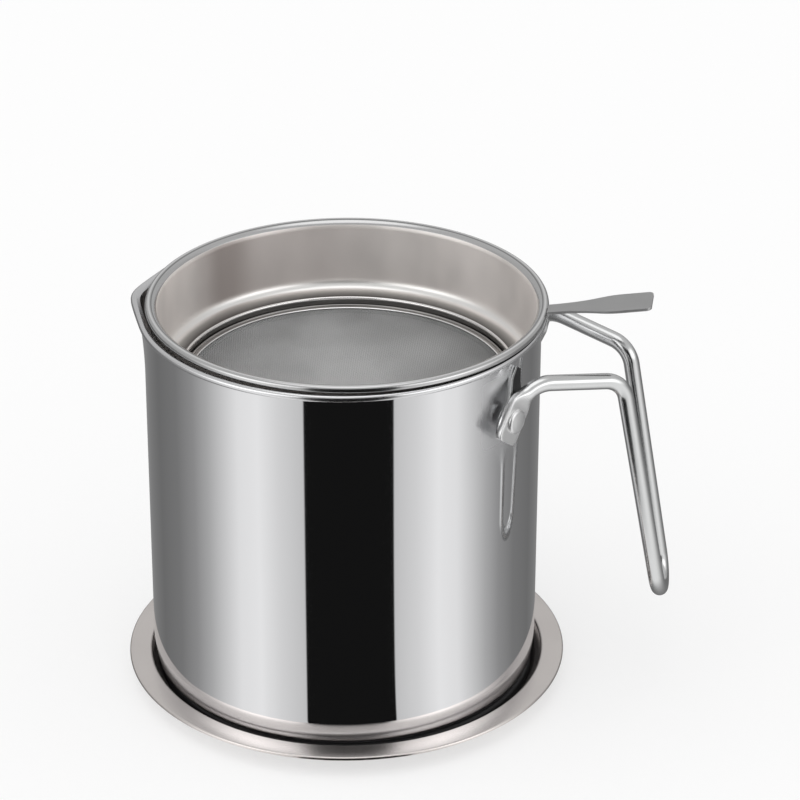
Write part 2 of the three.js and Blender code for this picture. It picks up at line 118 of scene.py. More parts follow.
# Lift tab
TAB_LENGTH = 35.7
TAB_ROOT = 6.2
TAB_END = 13.3
TAB_END_LENGTH = 10
TAB_SHOULDER = 17            # where both inner points of the side's curve lie
TAB_SHEET = 1
TAB_CORNER = 1.8
TAB_EDGE = 0.18
TAB_TILT = math.radians(9)
TAB_LEVEL = 143.5
TAB_WELD = 0.1               # depth of the root in the bead
TAB_CURVE_STEPS = 28
TAB_STRAIGHT_STEPS = 4
TAB_CORNER_STEPS = 8
TAB_COLUMNS = 12

# Rod handle and its flat ends
ROD = 2.75
TOP_REACH = 97.4
TOP_SPREAD = 13.3
TOP_LEVEL = 125.2
GRIP_END_REACH = 110.9
GRIP_END_LEVEL = 48.8
END_BEND = 9
TOP_BEND = 9
ROOT_BEND = 13
ROOT_RISE = 10.6
BEND_STEPS = 14
ROOT_STEPS = 20
FLAT_STEPS = 3
END_LEAN = math.radians(36)
END_MIDDLE = 72.75           # the flat end's middle, from the pot's axis
END_SHEET = 2.3
END_WIDTH = 11.2
END_TIP = 7.8
END_ROUND = 3.4
END_ROUND_STEPS = (0.25, 0.2, 0.17, 0.14, 0.1, 0.08, 0.06)
END_TIP_SHARE = 0.7          # what is left of the width at the very tip
END_FLAT = 4.6               # the end is flat up to here, along from the rivet
END_BLEND = 6.5              # and then turns round over this length
END_SQUARENESS = 8

# Ears
EAR_INNER = 70.4             # the ear's inner face at the rivet, from the pot's axis
EAR_SHEET = 1.2
EAR_WIDTH = 10.4
EAR_TOP = 4
EAR_TOP_SHIFT = 2.3
EAR_TAPER = 2.5
EAR_TIP = 6.8
EAR_TIP_SHARE = 0.3
EAR_FLAT = 4.3
EAR_BEND = 9.5
EAR_WELD = 3.5
EAR_EDGE = 0.25
EAR_ROWS = 40
EAR_COLUMNS = 12
EAR_ROW_CROWDING = 1.6       # above 1, rows lie closer together at the tip

# Rivets
RIVET_ANGLE = math.radians(30.3)
RIVET_LEVEL = 119.5
RIVET_SHANK = 2
RIVET_HEAD = 4.3
RIVET_DOME = 1.5
RIVET_LAND = 0.3             # the head's straight rim
RIVET_CHAMFER = 0.1
RIVET_CROWN = 0.72           # the crown's share of the head's radius
RIVET_SHOULDER = 0.8         # the height of the crown's edge, as a share of the head's
RIVET_SHOULDER_TURNS = (0.3, 0.6, 0.9, 1.2, 1.45)   # angles of the shoulder's points
RIVET_CROWN_START = 0.97     # the crown's arc starts at this share of its half angle
RIVET_TAIL = 4.4
RIVET_TAIL_HEIGHT = 1.4
RIVET_TAIL_FLAT = 0.7        # shares of the tail's radius and height at its rounded end
RIVET_TAIL_SHOULDER = (0.93, 0.2)
RIVET_STEPS = 48

ROUND_STEPS = 288
ROD_SIDES = 32
EDGE_ANGLE = math.radians(50)
SEAM_GAP = 0.004             # points closer than this are one
MIRROR_GAP = 0.01
WIRE_GAP = 0.001


# Tools for shaping the pieces

def pick_none():
    bpy.ops.object.select_all(action="DESELECT")


def pick_only(piece):
    pick_none()
    piece.select_set(True)
    bpy.context.view_layer.objects.active = piece


def start_edit(piece):
    pick_only(piece)
    bpy.ops.object.mode_set(mode="EDIT")
    bpy.ops.mesh.select_mode(type="VERT")
    bpy.ops.mesh.select_all(action="SELECT")


def end_edit():
    bpy.ops.object.mode_set(mode="OBJECT")


def new_piece(name):
    piece = bpy.context.object
    piece.name = name
    piece.data.name = name
    return piece


def smooth(piece, angle=30):
    pick_only(piece)
    bpy.ops.object.shade_smooth_by_angle(angle=math.radians(angle))


def faces_out(piece):
    start_edit(piece)
    bpy.ops.mesh.normals_make_consistent(inside=False)
    end_edit()


def close_up(piece):
    """Merges doubles and turns every face outwards."""
    start_edit(piece)
    bpy.ops.mesh.remove_doubles(threshold=SEAM_GAP * MM)
    bpy.ops.mesh.normals_make_consistent(inside=False)
    end_edit()


def apply_place(piece):
    """Writes a piece's place into its mesh."""
    pick_only(piece)
    bpy.ops.object.transform_apply(location=True, rotation=True, scale=True)


def settle(piece, place):
    piece.matrix_world = place
    apply_place(piece)


def axes(x_way, y_way, z_way):
    """The turn that lays a piece's own x, y and z along three directions."""
    return Matrix((x_way, y_way, z_way)).transposed().to_4x4()


def apply_modifiers(piece):
    pick_only(piece)
    for modifier in list(piece.modifiers):
        bpy.ops.object.modifier_apply(modifier=modifier.name)


def thicken(piece, sheet, side, edge, segments):
    """Gives an open sheet its thickness and rounds its edges."""
    thick = piece.modifiers.new("sheet", "SOLIDIFY")
    thick.thickness = sheet * MM
    thick.offset = side
    soften = piece.modifiers.new("edge", "BEVEL")
    soften.width = edge * MM
    soften.segments = segments
    soften.limit_method = "ANGLE"
    soften.angle_limit = EDGE_ANGLE
    apply_modifiers(piece)


def extrude(step):
    bpy.ops.mesh.extrude_region_move(TRANSFORM_OT_translate={"value": step})


def arc(x, z, radius, start, end, steps):
    """Points on an arc of a profile, both ends included, angles in degrees."""
    points = []
    for i in range(steps + 1):
        angle = math.radians(start + (end - start) * i / steps)
        points.append((x + radius * math.cos(angle), z + radius * math.sin(angle)))
    return points


def drawn_line(name, points):
    """An open line through points in metres, drawn by extruding its end."""
    pick_none()
    bpy.ops.mesh.primitive_plane_add(size=MM)
    line = new_piece(name)
    start_edit(line)
    bpy.ops.mesh.merge(type="CENTER")
    bpy.ops.transform.translate(value=points[0])
    for before, after in zip(points, points[1:]):
        extrude(Vector(after) - Vector(before))
    end_edit()
    return line


def spun(name, profile, axis_x=0, steps=ROUND_STEPS, angle=30):
    """A profile of (radius, level) points spun round an upright axis."""
    line = drawn_line(name, [((axis_x + r) * MM, 0, z * MM) for r, z in profile])
    start_edit(line)
    bpy.ops.mesh.spin(steps=steps, angle=2 * math.pi, center=(axis_x * MM, 0, 0), axis=(0, 0, 1))
    end_edit()
    close_up(line)
    smooth(line, angle)
    return line


def points_of(piece):
    flat = np.zeros(len(piece.data.vertices) * 3)
    piece.data.vertices.foreach_get("co", flat)
    return flat.reshape(-1, 3)


def set_points(piece, points):
    piece.data.vertices.foreach_set("co", np.asarray(points, float).ravel())
    piece.data.update()


def smoothstep(x, low, high):
    t = np.clip((x - low) / (high - low), 0, 1)
    return t * t * (3 - 2 * t)


# Tools for the finishes
PATCH_CONTRAST = 2.2
STEEL_RELIEF = 0.01
SILICONE_RELIEF = 0.02


class Channel:
    """A shader value; arithmetic on it adds Math nodes."""

    def __init__(self, finish, socket):
        self.finish = finish
        self.socket = socket

    def math(self, operation, *terms):
        return self.finish.add("ShaderNodeMath", {"operation": operation}, dict(enumerate(terms)))

    def __add__(self, other):
        return self.math("ADD", self, other)

    def __radd__(self, other):
        return self.math("ADD", other, self)

    def __sub__(self, other):
        return self.math("SUBTRACT", self, other)

    def __rsub__(self, other):
        return self.math("SUBTRACT", other, self)

    def __mul__(self, other):
        return self.math("MULTIPLY", self, other)

    def __rmul__(self, other):
        return self.math("MULTIPLY", other, self)

    def __truediv__(self, other):
        return self.math("DIVIDE", self, other)

    def __rtruediv__(self, other):
        return self.math("DIVIDE", other, self)

    def __pow__(self, other):
        return self.math("POWER", self, other)

    def clipped(self, low, high):
        return self.math("MINIMUM", self.math("MAXIMUM", self, low), high)

    def absolute(self):
        return self.math("ABSOLUTE", self)

    def sine(self):
        return self.math("SINE", self)

    def arcsine(self):
        return self.math("ARCSINE", self)

    def angle_over(self, base):
        """The angle whose rise is this value over a base, in radians."""
        return self.math("ARCTAN2", self, base)


class Finish:
    """The node tree of a material or of the studio's air."""

    MIX_LOW, MIX_HIGH, MIX_RESULT = 6, 7, 2     # the Mix node's sockets for colours

    def __init__(self, name, tree=None):
        self.material = None
        if tree is None:
            self.material = bpy.data.materials.new(name)
            self.material.use_nodes = True
            tree = self.material.node_tree
        self.tree = tree
        self.tree.nodes.clear()

    def add(self, kind, settings=None, sockets=None, out=0):
        node = self.tree.nodes.new(kind)
        for key, setting in (settings or {}).items():
            if key == "stops":
                ramp = node.color_ramp
                while len(ramp.elements) < len(setting):
                    ramp.elements.new(1)
                for element, (place, tone) in zip(ramp.elements, setting):
                    element.position = place
                    element.color = tone
            else:
                setattr(node, key, setting)
        for key, value in (sockets or {}).items():
            if isinstance(value, Channel):
                self.tree.links.new(value.socket, node.inputs[key])
            else:
                node.inputs[key].default_value = value
        return Channel(self, node.outputs[out])

    def finish(self, shader, kind="ShaderNodeOutputMaterial"):
        node = self.tree.nodes.new(kind)
        self.tree.links.new(shader.socket, node.inputs["Surface"])
        return self.material

    def place(self):
        """Object coordinates in millimetres, as three values."""
        coords = self.add("ShaderNodeTexCoord", out="Object")
        return [self.add("ShaderNodeSeparateXYZ", sockets={"Vector": coords}, out=axis) / MM
                for axis in "XYZ"]

    def from_axis(self, axis_x):
        """The place seen from an upright axis: x and y from it, the level and the radius."""
        x, y, z = self.place()
        x = x - axis_x
        return x, y, z, (x * x + y * y) ** 0.5

    def mixed(self, share, low, high):
        """A colour between two others."""
        return self.add("ShaderNodeMix", {"data_type": "RGBA"},
                        {"Factor": share, self.MIX_LOW: low, self.MIX_HIGH: high}, out=self.MIX_RESULT)

    def vector(self, x, y, z):
        return self.add("ShaderNodeCombineXYZ", sockets={"X": x, "Y": y, "Z": z})

    def noise(self, vector, scale=1.0, detail=2.0, w=None):
        sockets = {"Vector": vector, "Scale": scale, "Detail": detail, "Roughness": 0.5}
        settings = {"noise_dimensions": "3D"}
        if w is not None:
            settings["noise_dimensions"] = "4D"
            sockets["W"] = w
        return self.add("ShaderNodeTexNoise", settings, sockets, out="Fac")

    def cloudy(self, scale, detail):
        """Noise that is alike in all directions."""
        return self.noise(self.vector(*self.place()), scale=scale, detail=detail)

    def round_the_axis(self, axis_x, across, along, level):
        """Noise round an upright axis: how often it changes across the radius, along the turn
        and with the level."""
        x, y, z, radius = self.from_axis(axis_x)
        turn = self.vector(x / radius * along, y / radius * along, radius * across)
        return self.noise(turn, w=z * level)


def between(value, low, high):
    """0 below low, 1 above high and an even rise from one to the other."""
    return ((value - low) / (high - low)).clipped(0, 1)


def eased(value, low, high):
    """0 below low, 1 above high and a smooth rise from one to the other."""
    share = between(value, low, high)
    return share * share * (3 - 2 * share)


def within(value, borders, rise=between):
    """1 between two soft borders and 0 outside them."""
    start, end = borders
    return rise(value, *start) * (1 - rise(value, *end))


def towards(value, other, share):
    """A value, moved by a share of the way to another."""
    return value * (1 - share) + other * share


def sharpened(pattern):
    """More contrast, so that soft noise reads as patches."""
    return ((pattern - 0.5) * PATCH_CONTRAST + 0.5).clipped(0, 1)


def grey(tone):
    return (tone, tone, tone)


def opaque(colour):
    return tuple(colour) + (1,)


# A part of a surface with a finish of its own, and how much of it shows
Area = namedtuple("Area", "share colour roughness metallic", defaults=(1.0,))


def metal(name, colour, tone_change, roughness, roughness_change, patches, lines, bump,
          areas=None, metallic=1.0):
    """Steel: broad patches move its tone, and fine lines or grain its roughness and height."""
    finish = Finish(name)
    patch = patches(finish)
    pattern = lines(finish)
    low = opaque(c * (1 - tone_change) for c in colour)
    high = opaque(min(c * (1 + tone_change), 1) for c in colour)
    tone = finish.mixed(patch, low, high)
    height = finish.add("ShaderNodeBump", None,
                        {"Strength": bump, "Distance": STEEL_RELIEF * MM, "Height": pattern})
    rough = roughness + (pattern - 0.5) * roughness_change
    for area in (areas(finish) if areas else ()):
        tone = finish.mixed(area.share, tone, opaque(area.colour))
        rough = towards(rough, area.roughness, area.share)
        metallic = towards(metallic, area.metallic, area.share)
    shader = finish.add("ShaderNodeBsdfPrincipled", None, {
        "Base Color": tone, "Metallic": metallic, "Roughness": rough, "Normal": height})
    return finish.finish(shader)


# The pot's finishes; bearings go round the axis from the handle's side, in degrees
WELD_BEARINGS = (18, 26), (36, 50)
WELD_LEVELS = (97, 113), (134, 138)
SATIN_BORDER = (POT_RADIUS - POT_SHEET + 0.1, POT_RADIUS - 0.2)
SATIN_LEVELS = (POT_BASE + 0.2, POT_BASE + 0.6), (RIM_LEVEL - 12, RIM_LEVEL - 7)
FOOT_BORDER = (CREASE - 0.3, CREASE)
RIM_BORDER = (RIM_LEVEL - RIM_BEAD - 0.1, RIM_LEVEL - RIM_BEAD + 0.1)


def pot_areas(finish):
    """The rim's bead, a little duller than the wall, the satin inside and foot band, and the
    wall behind the ears, dulled by the weld."""
    x, y, z, radius = finish.from_axis(POT_X)
    bearing = y.absolute().angle_over(x) * DEGREES
    rim = between(z, *RIM_BORDER)
    inside = (1 - between(radius, *SATIN_BORDER)) * within(z, SATIN_LEVELS)
    foot = 1 - between(z, *FOOT_BORDER)
    weld = within(bearing, WELD_BEARINGS, eased) * within(z, WELD_LEVELS, eased)
    return [
        Area(rim, (0.79, 0.79, 0.80), roughness=0.2),
        Area(inside, (0.84, 0.83, 0.82), roughness=0.36, metallic=0.6),
        Area(foot, (0.84, 0.84, 0.85), roughness=0.2),
        Area(weld, (0.76, 0.76, 0.77), roughness=0.3),
    ]


def pot_streaks(finish):
    return finish.round_the_axis(POT_X, across=0.02, along=30, level=0.01)


polished_steel = metal(
    "polished_steel", (0.79, 0.79, 0.80), tone_change=0.01, roughness=0.045, roughness_change=0.02,
    patches=pot_streaks, lines=pot_streaks, bump=0.03, areas=pot_areas)

# The strainer's finishes
PINK_BEARINGS = (84, 112), (150, 157)
# Bearings of a painted brown reflection on the strainer's wall
BROWN_REFLECTION_BEARINGS = (126, 139), (142, 152)
BEAD_INSIDE = (BEAD_MIDDLE - 0.6, BEAD_MIDDLE)
BEAD_INSIDE_RISE = 1.3       # how much higher the polish starts on the bead's inner side
BEAD_BORDER = (BEAD_FOOT - 0.3, BEAD_FOOT)
# Radii of a painted dark line and a painted highlight line round the bead
DARK_LINE_RADII = (BEAD_MIDDLE - 1.15, BEAD_MIDDLE - 0.95), (BEAD_MIDDLE - 0.75, BEAD_MIDDLE - 0.55)
HIGHLIGHT_LINE_RADII = (BEAD_MIDDLE - 0.4, BEAD_MIDDLE - 0.2), (BEAD_MIDDLE + 0.2, BEAD_MIDDLE + 0.5)
# Painted shadow under the strainer's bead near the handle
SHADOW_BEARINGS = (-95, -60), (60, 95)
SHADOW_RISE = 0.6             # height of the painted shadow under the bead at the handle
SHADOW_BORDER = (BEAD_FOOT, BEAD_FOOT + 0.15)
SHADOW_RADII = (BEAD_MIDDLE, BEAD_MIDDLE + 0.2)
# Levels of a painted highlight on the basket's inner corner
CORNER_HIGHLIGHT_LEVELS = (LEDGE_LEVEL + 0.2, LEDGE_LEVEL + 0.9), (LEDGE_LEVEL + 1.4, LEDGE_LEVEL + BASKET_CORNER)
LOW_BORDER = (LEDGE_LEVEL + 0.3, LEDGE_LEVEL + 1.6)
# Painted shade on the ledge, darker inwards
SHELF_SHADE_BORDER = (LEDGE_EDGE + 3, LEDGE_EDGE + 6)
LEDGE_SHADE_BORDER = (LEDGE_EDGE + 1, LEDGE_EDGE + 4.6)
# Painted highlight on the ledge's inner edge
EDGE_HIGHLIGHT_BORDER = (LEDGE_EDGE + 0.5, LEDGE_EDGE + 0.7)
# Painted shade on the step below the ledge
STEP_SHADE_BORDER = (LEDGE_LEVEL - 1.5, LEDGE_LEVEL - 1.2)
# Painted highlight on the clamp ring's inner edge
CLAMP_HIGHLIGHT_BORDER = (CLAMP_INNER + 0.3, CLAMP_INNER + 0.4)


def strainer_areas(finish):
    """The wall's pink tint and a painted brown reflection, the polished bead with a painted dark line and
    a painted highlight line round it and a painted shadow under it near the handle, a painted highlight on
    the corner, painted shade on the ledge that darkens it inwards, a painted highlight on its edge and
    painted shade on the step below it."""
    x, y, z, radius = finish.from_axis(STRAINER_X)
    bearing = y.angle_over(x) * DEGREES
    pink = within(bearing, PINK_BEARINGS, eased)
    brown_reflection = within(bearing, BROWN_REFLECTION_BEARINGS, eased)
    inner_side = 1 - between(radius, *BEAD_INSIDE)
    bead = between(z - inner_side * BEAD_INSIDE_RISE, *BEAD_BORDER)
    handle_side = within(bearing, SHADOW_BEARINGS, eased)
    painted_shadow = bead * handle_side * (1 - between(z - handle_side * SHADOW_RISE, *SHADOW_BORDER))
    corner = within(z, CORNER_HIGHLIGHT_LEVELS, eased)
    low = 1 - between(z, *LOW_BORDER)
    return [
        Area(pink * 0.4, (0.56, 0.50, 0.48), roughness=0.42, metallic=0.5),
        # painted brown reflection on the wall
        Area(brown_reflection * 0.75, (0.40, 0.35, 0.33), roughness=0.42, metallic=0.5),
        Area(bead, grey(0.62), roughness=0.18),
        # painted dark line and painted highlight line on the bead
        Area(bead * within(radius, DARK_LINE_RADII), grey(0.30), roughness=0.1),
        Area(bead * within(radius, HIGHLIGHT_LINE_RADII), grey(0.92), roughness=0.1),
        # painted shadow under the bead near the handle
        Area(painted_shadow * between(radius, *SHADOW_RADII), grey(0.04), roughness=0.3),
        # painted highlight on the corner
        Area(corner, (0.96, 0.95, 0.93), roughness=0.28, metallic=0.9),
        # painted shade on the ledge, darker inwards
        Area(low * (1 - eased(radius, *SHELF_SHADE_BORDER)), (0.50, 0.49, 0.47), roughness=0.35, metallic=0.7),
        Area(low * (1 - between(radius, *LEDGE_SHADE_BORDER)), (0.13, 0.125, 0.12), roughness=0.3, metallic=0.7),
        # painted highlight on the ledge's edge
        Area(low * (1 - between(radius, *EDGE_HIGHLIGHT_BORDER)), (0.95, 0.94, 0.93), roughness=0.15),
        # painted shade on the step
        Area(1 - between(z, *STEP_SHADE_BORDER), (0.20, 0.195, 0.19), roughness=0.3),
    ]


def clamp_areas(finish):
    """A painted highlight on the ring's inner edge."""
    x, y, z, radius = finish.from_axis(STRAINER_X)
    return [Area(1 - between(radius, *CLAMP_HIGHLIGHT_BORDER), grey(0.9), roughness=0.2)]


def strainer_patches(finish):
    return sharpened(finish.round_the_axis(STRAINER_X, across=0.04, along=3.2, level=0.03))


def strainer_rings(finish):
    return finish.round_the_axis(STRAINER_X, across=7, along=5, level=7)


def wire_grain(finish):
    return finish.cloudy(scale=0.15, detail=3)


def wire_clouds_and_light(finish):
    """Random patches, and painted light: lighter in the middle of the net than near its ring."""
    x, y, z, radius = finish.from_axis(STRAINER_X)
    clouds = sharpened(finish.cloudy(scale=0.03, detail=3))
    return (clouds * 0.5 + (1 - radius / NET_RADIUS) * 0.8).clipped(0, 1)


def fine_grain(finish):
    return finish.cloudy(scale=9, detail=3)


satin_steel = metal(
    "satin_steel", (0.86, 0.815, 0.785), tone_change=0.16, roughness=0.42, roughness_change=0.05,
    patches=strainer_patches, lines=strainer_rings, bump=0.06, areas=strainer_areas, metallic=0.5)
clamp_steel = metal(
    "clamp_steel", (0.40, 0.39, 0.38), tone_change=0.10, roughness=0.3, roughness_change=0.05,
    patches=strainer_patches, lines=strainer_rings, bump=0.06, areas=clamp_areas)
wire_steel = metal(
    "wire_steel", grey(0.52), tone_change=0.5, roughness=0.3, roughness_change=0.1,
    patches=wire_clouds_and_light, lines=wire_grain, bump=0.1)
tab_steel = metal(
    "tab_steel", grey(0.50), tone_change=0.05, roughness=0.5, roughness_change=0.1,
    patches=wire_grain, lines=fine_grain, bump=0.4)


# The tray's finishes

def tray_patches(finish):
    return sharpened(finish.round_the_axis(0, across=0.05, along=2.5, level=0.02))


def tray_rings(finish):
    return finish.round_the_axis(0, across=6, along=6, level=6)


tray_steel = metal(
    "tray_steel", (0.84, 0.79, 0.765), tone_change=0.05, roughness=0.26, roughness_change=0.05,
    patches=tray_patches, lines=tray_rings, bump=0.06)


def silicone_finish():
    finish = Finish("silicone")
    grain = fine_grain(finish)
    height = finish.add("ShaderNodeBump", None,
                        {"Strength": 0.4, "Distance": SILICONE_RELIEF * MM, "Height": grain})
    tone = finish.mixed(grain, (0.010, 0.010, 0.011, 1), (0.018, 0.018, 0.019, 1))
    shader = finish.add("ShaderNodeBsdfPrincipled", None, {
        "Base Color": tone, "Roughness": 0.6 + (grain - 0.5) * 0.1, "Normal": height})
    return finish.finish(shader)


silicone = silicone_finish()


def dress(piece, material, body, slot, *nodes):
    """Gives a piece its finish and its body, and hides the solids that it stands for."""
    piece.data.materials.clear()
    piece.data.materials.append(material)
    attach(piece, body)
    if nodes:
        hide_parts(*nodes)


# Camera
CAMERA_PLACE = (157.0215, -1008.5536, 618.9330)
CAMERA_WAY = (-0.121029, 0.884683, -0.450210)
CAMERA_ROLL = 0.003
CAMERA_LENS = 148.5
CAMERA_SENSOR = 36
CAMERA_NEAR, CAMERA_FAR = 0.05, 30      # metres


def make_camera():
    pick_none()
    bpy.ops.object.camera_add()
    camera = bpy.context.object
    forward = Vector(CAMERA_WAY).normalized()
    level = forward.cross(Vector((0, 0, 1))).normalized()
    above = level.cross(forward)
    right = level * math.cos(CAMERA_ROLL) + above * math.sin(CAMERA_ROLL)
    up = above * math.cos(CAMERA_ROLL) - level * math.sin(CAMERA_ROLL)
    camera.matrix_world = Matrix.Translation(Vector(CAMERA_PLACE) * MM) @ axes(right, up, -forward)
    camera.data.sensor_width = CAMERA_SENSOR
    camera.data.lens = CAMERA_LENS
    camera.data.clip_start = CAMERA_NEAR
    camera.data.clip_end = CAMERA_FAR
    bpy.context.scene.camera = camera


make_camera()


# Tray and pad

def make_tray():
    floor = TRAY_WELL - TRAY_DRAFT
    outer = TRAY_FILLET + TRAY_SHEET
    mouth = TRAY_WELL + TRAY_MOUTH_ROUND
    mouth_level = TRAY_HEIGHT - TRAY_MOUTH_ROUND
    hem = TRAY_WELL + TRAY_FLANGE
    hem_level = TRAY_HEIGHT - TRAY_FLANGE_DROP - TRAY_HEM
    hem_root = math.sqrt(TRAY_HEM ** 2 - (TRAY_HEM - TRAY_SHEET / 2) ** 2)
    profile = [
        (0, 0),
        *arc(floor - TRAY_FILLET, outer, outer, -90, 0, steps=10),
        *arc(mouth, mouth_level, TRAY_MOUTH_ROUND - TRAY_SHEET, 180, 90, steps=3),
        (hem - hem_root, hem_level + TRAY_HEM - TRAY_SHEET),
        *arc(hem, hem_level, TRAY_HEM, -135, 90, steps=14),
        *arc(mouth, mouth_level, TRAY_MOUTH_ROUND, 90, 180, steps=8),
        *arc(floor - TRAY_FILLET, outer, TRAY_FILLET, 0, -90, steps=10),
        (0, TRAY_SHEET),
    ]
    return spun("drip_tray_dish", profile)


def make_pad():
    inner = PAD_RADIUS - PAD_RIM
    edge = PAD_RADIUS - PAD_EDGE
    profile = [
        (0, PAD_BASE),
        *arc(edge, PAD_BASE + PAD_EDGE, PAD_EDGE, -90, 0, steps=6),
        *arc(edge, PAD_TOP - PAD_EDGE, PAD_EDGE, 0, 90, steps=6),
        *arc(inner + PAD_EDGE / 2, PAD_TOP - PAD_EDGE / 2, PAD_EDGE / 2, 90, 180, steps=4),
        (inner, PAD_WEB),
        (0, PAD_WEB),
    ]
    return spun("silicone_pad", profile, steps=PAD_STEPS)


dress(make_tray(), tray_steel, "base", "tray_steel", "drip_tray")
dress(make_pad(), silicone, "base", "silicone", "anti_slip_pad")


# Pot

def lip_pull(points):
    """Pulls the pouring lip out of the rim on the side away from the handle."""
    x = points[:, 0] / MM - POT_X
    y = points[:, 1] / MM
    z = points[:, 2] / MM
    angle = np.hypot(np.arctan2(y, -x), LIP_TIP_ANGLE)
    full = 1 / np.cos(np.clip(LIP_HALF_ANGLE - angle, 0, LIP_HALF_ANGLE))
    rise = smoothstep(z, RIM_LEVEL - LIP_DEPTH, RIM_LEVEL - RIM_BEAD)
    pull = 1 + (full - 1) * rise
    moved = points.copy()
    moved[:, 0] = (x * pull + POT_X) * MM
    moved[:, 1] = y * pull * MM
    return moved


def make_pot():
    inner = POT_RADIUS - POT_SHEET
    tilt = math.tan(FOOT_TILT)
    foot_rise = FOOT_HEIGHT - FOOT_ROUND * (1 - math.sin(FOOT_TILT))
    foot = POT_RADIUS - foot_rise * tilt - FOOT_ROUND * math.cos(FOOT_TILT)
    foot_level = POT_BASE + FOOT_ROUND
    foot_end = -math.degrees(FOOT_TILT)
    inner_crease = CREASE - POT_SHEET * math.tan(FOOT_TILT / 2)
    near, far = CREASE_ROWS
    bead = POT_RADIUS + RIM_REACH
    bead_start = -180 + math.degrees(math.acos(RIM_REACH / RIM_BEAD))
    lip_rise = (LIP_DEPTH - 2 * RIM_BEAD) / LIP_ROWS
    rows = [RIM_LEVEL - LIP_DEPTH + lip_rise * i for i in range(LIP_ROWS + 1)]
    profile = [
        (0, POT_BASE),
        *arc(foot, foot_level, FOOT_ROUND, -90, foot_end, steps=14),
        (POT_RADIUS - (foot_rise - near) * tilt, CREASE - foot_rise + near),
        *[(POT_RADIUS - drop * tilt, CREASE - drop) for drop in (far, near)],
        *[(POT_RADIUS, CREASE + rise) for rise in (near, far)],
        *[(POT_RADIUS, level) for level in rows],
        *arc(bead, RIM_LEVEL, RIM_BEAD, bead_start, RIM_CURL_END, steps=18),
        (inner, RIM_LEVEL),
        *[(inner, level) for level in reversed(rows)],
        *[(inner, inner_crease + rise) for rise in (far, near)],
        *[(inner - drop * tilt, inner_crease - drop) for drop in (near, far)],
        *arc(foot, foot_level, FOOT_ROUND - POT_SHEET, foot_end, -90, steps=14),
        (0, POT_BASE + POT_SHEET),
    ]
    pot = spun("pot_wall", profile, POT_X, angle=40)
    set_points(pot, lip_pull(points_of(pot)))
    return pot


dress(make_pot(), polished_steel, "pot", "polished_steel", "pot_shell")

# Handle, ears and rivets; directions out of the wall at the near rivet, round the wall, and
# along and across the rod's flat end
OUT = Vector((math.cos(RIVET_ANGLE), -math.sin(RIVET_ANGLE), 0))
ROUND = Vector((math.sin(RIVET_ANGLE), math.cos(RIVET_ANGLE), 0))
ALONG = ROUND * math.sin(END_LEAN) + Vector((0, 0, math.cos(END_LEAN)))
ACROSS = OUT.cross(ALONG)
RIVET_BASE = Vector((POT_X, 0, RIVET_LEVEL))


def at_rivet(distance, along, across=0.0):
    """A point at a distance from the pot's axis, along and across from the near rivet."""
    return RIVET_BASE + OUT * distance + ALONG * along + ACROSS * across


def bend_at(before, at, after, radius):
    """Start, middle, axis, angle and end of the round bend at a corner of the rod."""
    arriving = (at - before).normalized()
    leaving = (after - at).normalized()
    turn = arriving.angle(leaving)
    start = at - arriving * (radius * math.tan(turn / 2))
    axis = arriving.cross(leaving).normalized()
    middle = start + axis.cross(arriving) * radius
    end = at + leaving * (radius * math.tan(turn / 2))
    return start, middle, axis, turn, end


def run_rod(step, pieces=1):
    for _ in range(pieces):
        extrude(step * (MM / pieces))


def bend_rod(middle, axis, turn, steps):
    bpy.ops.mesh.spin(steps=steps, angle=-turn, center=middle * MM, axis=axis)


def make_handle():
    """Half of the rod, from the bottom of the grip to its flat end, and its mirror image."""
    top = Vector((POT_X + TOP_REACH, -TOP_SPREAD, TOP_LEVEL))
    end_middle = Vector((POT_X + GRIP_END_REACH, 0, GRIP_END_LEVEL))
    down = end_middle - top
    down.y = 0
    grip = down.length
    down.normalize()
    side = Vector((0, -1, 0))
    end_axis = down.cross(side)
    converge = math.acos(END_BEND / math.hypot(grip, TOP_SPREAD)) - math.atan2(grip, TOP_SPREAD)
    outwards = side * math.cos(converge) + down * math.sin(converge)
    grip_start = end_middle + outwards * END_BEND
    tip = at_rivet(END_MIDDLE, -END_TIP)
    root = at_rivet(END_MIDDLE, ROOT_RISE / math.cos(END_LEAN))
    top_start, top_middle, top_axis, top_turn, top_end = bend_at(grip_start, top, root, TOP_BEND)
    root_start, root_middle, root_axis, root_turn, root_end = bend_at(top, root, tip, ROOT_BEND)
    bottom = end_middle + down * END_BEND

    pick_none()
    bpy.ops.mesh.primitive_circle_add(vertices=ROD_SIDES, radius=ROD * MM)
    rod = new_piece("handle_rod")
    settle(rod, Matrix.Translation(bottom * MM) @ axes(down, end_axis, side))
    start_edit(rod)
    bend_rod(end_middle, end_axis, math.pi / 2 - converge, BEND_STEPS)
    run_rod(top_start - grip_start)
    bend_rod(top_middle, top_axis, top_turn, BEND_STEPS)
    run_rod(root_start - top_end)
    bend_rod(root_middle, root_axis, root_turn, ROOT_STEPS)
    run_rod(at_rivet(END_MIDDLE, END_ROUND - END_TIP) - root_end, FLAT_STEPS)
    for share in END_ROUND_STEPS:
        run_rod(ALONG * (-END_ROUND * share))
    bpy.ops.mesh.edge_face_add()
    end_edit()
    press_flat(rod, root_end, root_middle, root_axis, root_turn)
    mirror = rod.modifiers.new("mirror", "MIRROR")
    mirror.use_axis = (False, True, False)
    mirror.merge_threshold = MIRROR_GAP * MM
    apply_modifiers(rod)
    close_up(rod)
    smooth(rod, angle=40)
    return rod


